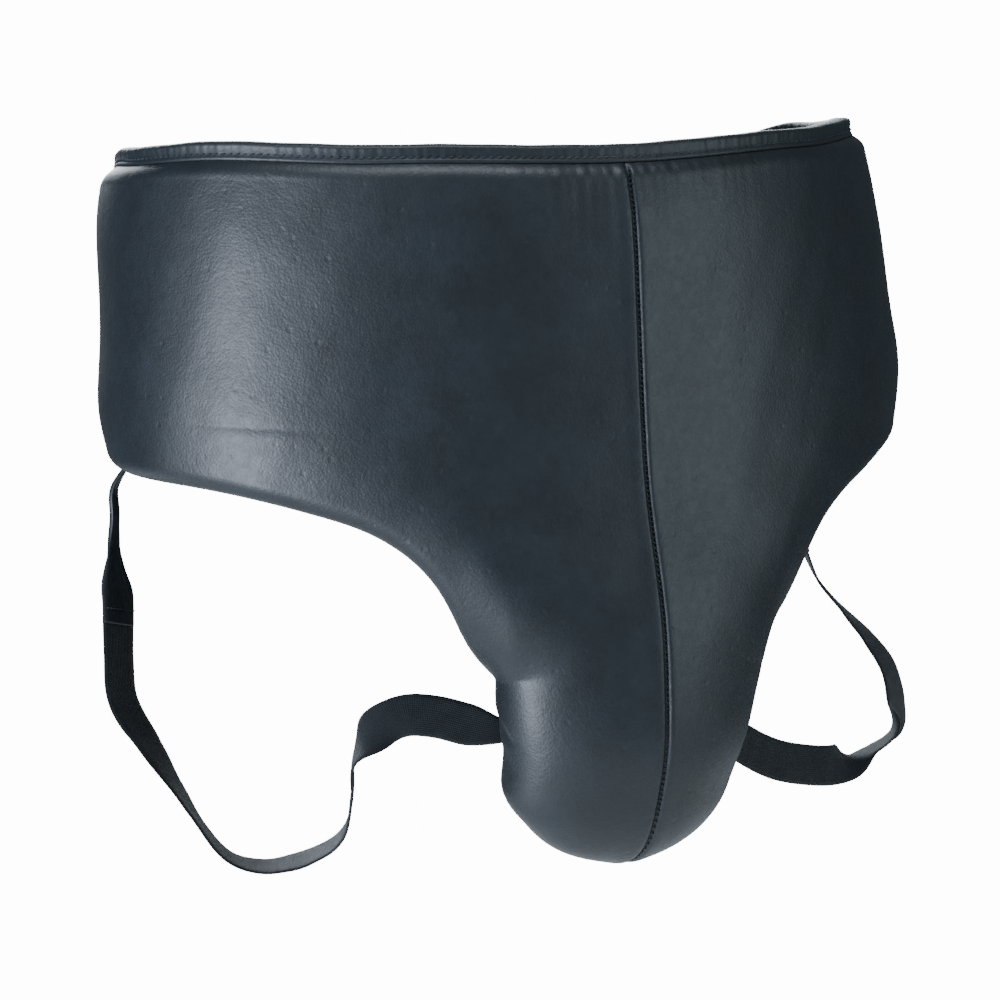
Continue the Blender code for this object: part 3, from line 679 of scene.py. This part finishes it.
def binding_stitches():
    """The rows of stitches along the binding, one on its front and one on its back."""
    s = np.arange(-WING_END + 4, WING_END - 4, BINDING_STITCH)
    rows = (("front_binding_stitches", 1, ["binding_stitching"]), ("back_binding_stitches", -1, []))
    for name, face, replaced in rows:
        offset = face * (BINDING_HALF + 0.15)
        ends = []
        for a in s:
            line = float(eased(abs(a), RIM)) - STITCH_LINE
            end = BODY.place(a + 0.68 * BINDING_STITCH, line - 0.5, offset)
            ends.append((BODY.place(a, line, offset), end))
        outward = [unit(BODY.place(a, 0.0, 12.0 * face) - BODY.place(a, 0.0, 2.0 * face)) for a in s]
        piece = stitch_row(name, ends, outward, "band")
        if replaced:
            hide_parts(*replaced)


def seam_stitches():
    """Threads across the centre seam's groove, all the way from the binding to under the cup's toe."""
    ends, outward = [], []
    for w in np.arange(*SEAM_STITCHED, SEAM_STITCH):
        depth = PAD_HALF + CROWN * ease(w / 60) + RIDGE * ease((w - 4) / 30) - 1.3
        a, b = BODY.place(-1.0, w - 0.35, depth), BODY.place(1.0, w + 0.35, depth)
        ends.append((a, b))
        outward.append(unit(BODY.place(0.0, w, 12.0) - BODY.place(0.0, w, 2.0)))
    piece = stitch_row("centre_seam_stitches", ends, outward, "band", bulge=0.4, radius=0.30)
    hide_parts("centre_seam_stitching")


def wing_end(side):
    """Leather folded round the wing's end and sewn down, where the rear waistband is fixed."""
    radius, corner = WING_PATCH_RADIUS, WING_PATCH_CORNER
    fold_s = WING_END - WING_PATCH_EDGE
    start_s = fold_s - WING_PATCH_REACH
    turn = np.linspace(0, math.pi, 40)
    flat = np.linspace(0, 1, 12)
    outer_s, inner_s = mix(start_s, fold_s, flat[:-1]), mix(fold_s, start_s, flat[1:])
    s = np.concatenate([outer_s, fold_s + radius * np.sin(turn), inner_s])
    offset = np.concatenate([np.full(11, radius), radius * np.cos(turn), np.full(11, -radius)])
    down = np.linspace(0, 1, 60)
    rim_w = eased(np.minimum(s, WING_END), RIM)
    w = mix(rim_w[None, :] + corner, EDGE[-1][1] - corner, down[:, None])
    s, offset = np.broadcast_to(s, w.shape), np.broadcast_to(offset, w.shape)
    puffy = 0.3 * ripple(w / 6, s / 8, 8)
    outer = BODY.place(side * s, w, offset + puffy * 0.5)
    bm = bmesh.new()
    add_grid(bm, outer)
    name = side_name(side)
    replaced = [f"{name}_wing_end_patch"]
    piece = finish_piece(f"{name}_wing_end", bm, "binding_leather", "band", replaced)
    thickness = piece.modifiers.new("thickness", "SOLIDIFY")
    thickness.thickness = 1.0 * MM
    thickness.offset = 0
    line_w = np.arange(rim_w[0] + corner + 3, EDGE[-1][1] - corner - 3, BINDING_STITCH)
    at_s = start_s + 2.5
    out = radius + 0.5
    ends = [(BODY.place(side * at_s, w, out), BODY.place(side * at_s, w + 2.5, out)) for w in line_w]
    outward = [unit(BODY.place(side * at_s, w, 12.0) - BODY.place(side * at_s, w, 2.0)) for w in line_w]
    stitch_row(f"{name}_wing_end_stitches", ends, outward, "band")


def pocket():
    """The cloth pocket that holds the hard cup against the padding."""
    a, b = np.meshgrid(np.linspace(-1, 1, 70), np.linspace(-1, 1, 90))
    x, y = a * np.sqrt(1 - b**2 / 2), b * np.sqrt(1 - a**2 / 2)
    inside = ease((1 - np.hypot(x, y)) / 0.12)
    folds = 0.4 * ripple(x * 9, y * 7, 9) * inside
    bm = bmesh.new()
    offset = POCKET_EDGE - POCKET_BULGE * inside + folds
    add_grid(bm, BODY.place(x * CUP_HALF_S, CUP_CENTRE_W + y * CUP_HALF_W, offset))
    piece = finish_piece("cup_pocket_cloth", bm, "lining_cloth", "band", ["cup_pocket"])
    thickness = piece.modifiers.new("thickness", "SOLIDIFY")
    thickness.thickness = 0.6 * MM
    turn = np.linspace(0, 2 * math.pi, 110, endpoint=False)
    ring_s = 0.965 * CUP_HALF_S * np.sin(turn)
    ring_w = CUP_CENTRE_W + 0.965 * CUP_HALF_W * np.cos(turn)
    ring = BODY.place(ring_s, ring_w, POCKET_EDGE - 0.8)
    inner = BODY.place(ring_s, ring_w, POCKET_EDGE - 4)
    ends = [(ring[k], mix(ring[k], ring[(k + 1) % len(ring)], 0.65)) for k in range(len(ring))]
    stitch_row("cup_pocket_stitches", ends, unit(inner - ring), "band")


# ---------------------------------------------------------------- straps


def leg_strap(side):
    """The gathered leather tab at the band and the webbing from it to the cup."""
    strap = Strap(STRAP_ROUTES[side], STRAP_FACINGS[side])
    name, body = side_name(side), f"{side_name(side)}_leg_strap"
    widths = TAB_WIDTHS[side]

    def tab_width(shares):
        return TAB_WIDTH * eased(shares / TAB_SHARE, widths)

    def tab_relief(share, across):
        t = share / TAB_SHARE
        folds = 0.9 * np.cos(across * 7 + 2.2 * np.sin(t * 5)) * (1 - 0.75 * ease((t - 0.7) / 0.3))
        fold = 1.1 * hump(across - 0.25 * np.sin(4 * t), 0.5) * (1 - ease((t - 0.6) / 0.3))
        return (folds * (1 - np.abs(across) ** 6) + fold) * ease(t / 0.3)

    strap_piece(f"{name}_tab", strap, 0.0, TAB_SHARE + 0.012, tab_width, TAB_THICK, "binding_leather",
                body, [f"{name}_leg_strap_tab"], 90, tab_relief)

    def webbing_relief(share, across):
        curl = 0.25 * across * ripple(share * 60, share * 9, 10 + side)
        return curl + 0.15 * ripple(share * 90, 0 * across, 12)

    def webbing_width(shares):
        return STRAP_WIDTH * eased(shares, WEBBING_WIDTHS)

    webbing = strap_piece(f"{name}_webbing", strap, TAB_SHARE - 0.004, 1.0, webbing_width, STRAP_THICK,
                          "black_elastic", body, [f"{name}_leg_strap_elastic"], 260,
                          webbing_relief)
    at = TAB_SHARE - 2.4 / strap.length
    across = np.arange(-8.5, 8.6, 2.1)
    for face, label in ((1, "outer"), (-1, "inner")):
        out = face * (TAB_THICK / 2 + 0.25)
        ends = [(strap.place(at, x, out), strap.place(at, x + 1.5, out)) for x in across]
        outward = [unit(strap.place(at, x, 3.0 * face) - strap.place(at, x, 1.0 * face)) for x in across]
        stitch_row(f"{name}_{label}_tab_stitches", ends, outward, body)


def level_strap(route):
    """A strap that stands on edge along a level route of (x, y) points."""
    return Strap([(x, y, WAIST_Z) for x, y in route], [(0, (0, 0, 1)), (1, (0, 0, 1))])


def waist_closure():
    """The rear waistband and its overlapping closure."""
    loop_y = LOOP_ELASTIC_Y
    hinge_x, hinge_y = CLOSURE_HINGE
    left = level_strap([(135.3, 83), (123, 89.5), (108, 95), (90, 99.5), (70, 102.2), (48, loop_y),
                        (0, loop_y), (-46, loop_y)])
    right = level_strap([(-135.3, 83), (-123, 90.5), (-108, 97.5), (-90, 103), (-74, 106.6),
                         (hinge_x - 1, hinge_y)])
    for name, strap in (("left", left), ("right", right)):
        piece = strap_piece(f"{name}_waist_webbing", strap, 0.0, 1.0, WAIST_WIDTH, WAIST_THICK,
                            "black_elastic", "band", [f"{name}_waist_elastic"], 120)
    flap_y = loop_y + WAIST_THICK + 3 * LAYER_GAP + 2 * PATCH_THICK
    tip = hinge_x + FLAP_LENGTH
    flap = level_strap([(hinge_x + 1, hinge_y), (hinge_x + 14, flap_y - 0.1), (0, flap_y), (tip, flap_y)])
    strap_piece("closure_flap_leather", flap, 0.0, 1.0, WAIST_WIDTH, WAIST_THICK, "binding_leather",
                "closure", ["closure_flap"], 80)
    tab = level_strap([(tip + 0.5, flap_y), (tip + 12, flap_y + 0.6), (tip + 26, flap_y + 2)])

    def tab_width(shares):
        return PULL_TAB_WIDTH - PULL_TAB_NARROWING * shares**3

    strap_piece("closure_tab_leather", tab, 0.0, 1.0, tab_width, PULL_TAB_THICK, "binding_leather",
                "closure", ["closure_pull_tab"], 40)
    border = 2.6
    for label, height in (("upper", WAIST_WIDTH / 2 - border), ("lower", border - WAIST_WIDTH / 2)):
        shares = np.arange(3.0, flap.length - 3.0, BINDING_STITCH) / flap.length
        step = 2.5 / flap.length
        out = WAIST_THICK / 2 + 0.15
        probe = flap.place(0.5, 0.0, 5.0) - flap.place(0.5, 0.0, 0.0)
        face = 1.0 if probe[1] > 0 else -1.0
        ends = []
        for a in shares:
            ends.append((flap.place(a, height, face * out), flap.place(a + step, height, face * out)))
        outward = [np.array([0.0, 1.0, 0.0])] * len(ends)
        stitch_row(f"closure_{label}_stitches", ends, outward, "closure")


# ---------------------------------------------------------------- CAD nodes that stay


def finish_cad():
    """Materials for the CAD nodes that show as they are."""
    looks = {entry["node"]: entry["material_slot"] for entry in frame["record"]["subparts"]}
    for name, obj in frame["nodes"].items():
        obj.data.materials.clear()
        obj.data.materials.append(MATERIALS[looks[name]])


# ---------------------------------------------------------------- stage

def placed(right, up, back, place):
    """The matrix_world of a camera or light at a place that looks the opposite way to back."""
    matrix = np.eye(4)
    for column, direction in enumerate((right, up, back, place)):
        matrix[:3, column] = direction
    return matrix.T


def camera():
    """The camera, in front of the object and towards its -X side."""
    a, e, r = (math.radians(x) for x in (CAMERA_AZIMUTH, CAMERA_ELEVATION, CAMERA_ROLL))
    right = np.array([math.cos(a), math.sin(a), 0.0])
    up = np.array([-math.sin(a) * math.sin(e), math.cos(a) * math.sin(e), math.cos(e)])
    back = np.array([math.sin(a) * math.cos(e), -math.cos(a) * math.cos(e), math.sin(e)])
    turned_right = right * math.cos(r) + up * math.sin(r)
    turned_up = up * math.cos(r) - right * math.sin(r)
    data = bpy.data.cameras.new("camera")
    data.lens = CAMERA_LENS
    data.shift_x, data.shift_y = CAMERA_SHIFT
    made = bpy.data.objects.new("camera", data)
    place = np.array(CAMERA_TARGET) + back * CAMERA_DISTANCE
    made.matrix_world = placed(turned_right, turned_up, back, place)
    bpy.context.scene.collection.objects.link(made)
    bpy.context.scene.camera = made


def lights():
    """The softboxes, each turned to face the object."""
    for name, (place, size, power, colour) in LIGHTS.items():
        data = bpy.data.lights.new(name, "AREA")
        data.shape = "RECTANGLE"
        data.size, data.size_y = size
        data.energy = power
        data.color = colour
        made = bpy.data.objects.new(name, data)
        back = unit(np.array(place) - np.array(CAMERA_TARGET))
        right = unit(np.cross((0.0, 0.0, 1.0), back))
        made.matrix_world = placed(right, np.cross(back, right), back, place)
        bpy.context.scene.collection.objects.link(made)


def surroundings():
    """White all round for the camera, and a dimmer white for the light that falls on the object."""
    world = bpy.data.worlds.new("studio")
    world.use_nodes = True
    tree = world.node_tree
    seen = node(tree, "ShaderNodeBackground", Strength=SKY_SEEN)
    seen.inputs["Color"].default_value = (1, 1, 1, 1)
    cast = node(tree, "ShaderNodeBackground", Strength=SKY_CAST)
    cast.inputs["Color"].default_value = (*SKY_CAST_COLOUR, 1)
    rays = node(tree, "ShaderNodeLightPath")
    choice = node(tree, "ShaderNodeMixShader")
    tree.links.new(rays.outputs["Is Camera Ray"], choice.inputs["Fac"])
    tree.links.new(cast.outputs[0], choice.inputs[1])
    tree.links.new(seen.outputs[0], choice.inputs[2])
    tree.links.new(choice.outputs[0], tree.nodes["World Output"].inputs["Surface"])
    bpy.context.scene.world = world


def floor():
    """A plain pale disc below the object."""
    bm = bmesh.new()
    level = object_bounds()[0][2] - FLOOR_DROP
    turns = np.linspace(0, 2 * math.pi, 96, endpoint=False)
    rim = [(FLOOR_RADIUS * math.cos(t), FLOOR_RADIUS * math.sin(t), level) for t in turns]
    bm.faces.new([bm.verts.new(place) for place in rim])
    mesh = bpy.data.meshes.new("floor")
    bm.to_mesh(mesh)
    bm.free()
    made, _, _ = shader_material("floor", (0.93, 0.93, 0.93), 0.9, 0.1)
    mesh.materials.append(made)
    obj = bpy.data.objects.new("floor", mesh)
    bpy.context.scene.collection.objects.link(obj)
    obj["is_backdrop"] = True


def corners(box):
    """A box's two corners as plain lists."""
    return [list(map(float, corner)) for corner in box]


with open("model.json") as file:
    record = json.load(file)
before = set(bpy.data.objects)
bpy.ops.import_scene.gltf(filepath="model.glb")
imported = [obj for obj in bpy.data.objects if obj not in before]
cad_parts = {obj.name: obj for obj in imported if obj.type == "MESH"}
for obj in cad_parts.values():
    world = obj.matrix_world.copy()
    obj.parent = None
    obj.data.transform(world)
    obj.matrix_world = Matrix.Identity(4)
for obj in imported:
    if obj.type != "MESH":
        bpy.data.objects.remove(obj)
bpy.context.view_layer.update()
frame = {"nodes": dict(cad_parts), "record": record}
finish_cad()
for each_side in (LEFT, RIGHT):
    cover(each_side)
    lining(each_side)
    wing_end(each_side)
    leg_strap(each_side)
binding()
binding_stitches()
seam_stitches()
pocket()
waist_closure()
floor()
surroundings()
lights()
camera()
